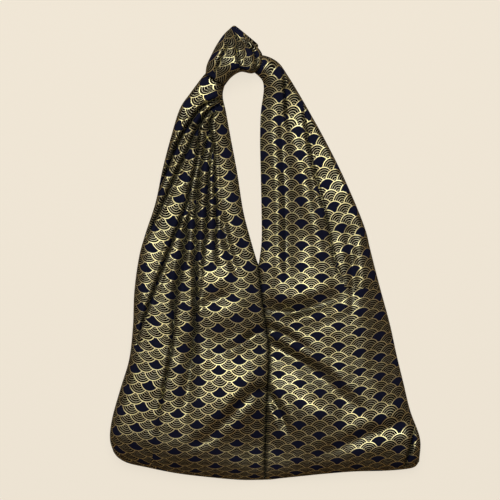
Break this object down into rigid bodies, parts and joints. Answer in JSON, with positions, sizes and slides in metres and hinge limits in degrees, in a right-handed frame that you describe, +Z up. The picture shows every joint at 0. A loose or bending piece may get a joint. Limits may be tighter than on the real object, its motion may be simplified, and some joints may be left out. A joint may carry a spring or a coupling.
{
  "type": "knot bag",
  "caption": "Soft cotton bag lying on its back, its long printed panels sewn together down the middle and their tapered upper ends tied in a knot that closes the handle.",
  "frame": {"origin": "middle of the bag's outline, on the surface that the bag lies on", "axes": "+X towards the right panel, +Y along the bag towards the knot, +Z up out of its front"},
  "size_m": [0.4131, 0.6022, 0.0445],
  "materials": {
    "printed_cotton": "navy cotton with an overlapping wave print in gold foil"
  },
  "bodies": {
    "root": {"left_panel": "printed_cotton", "right_panel": "printed_cotton", "knot": "printed_cotton"}
  },
  "joints": []
}
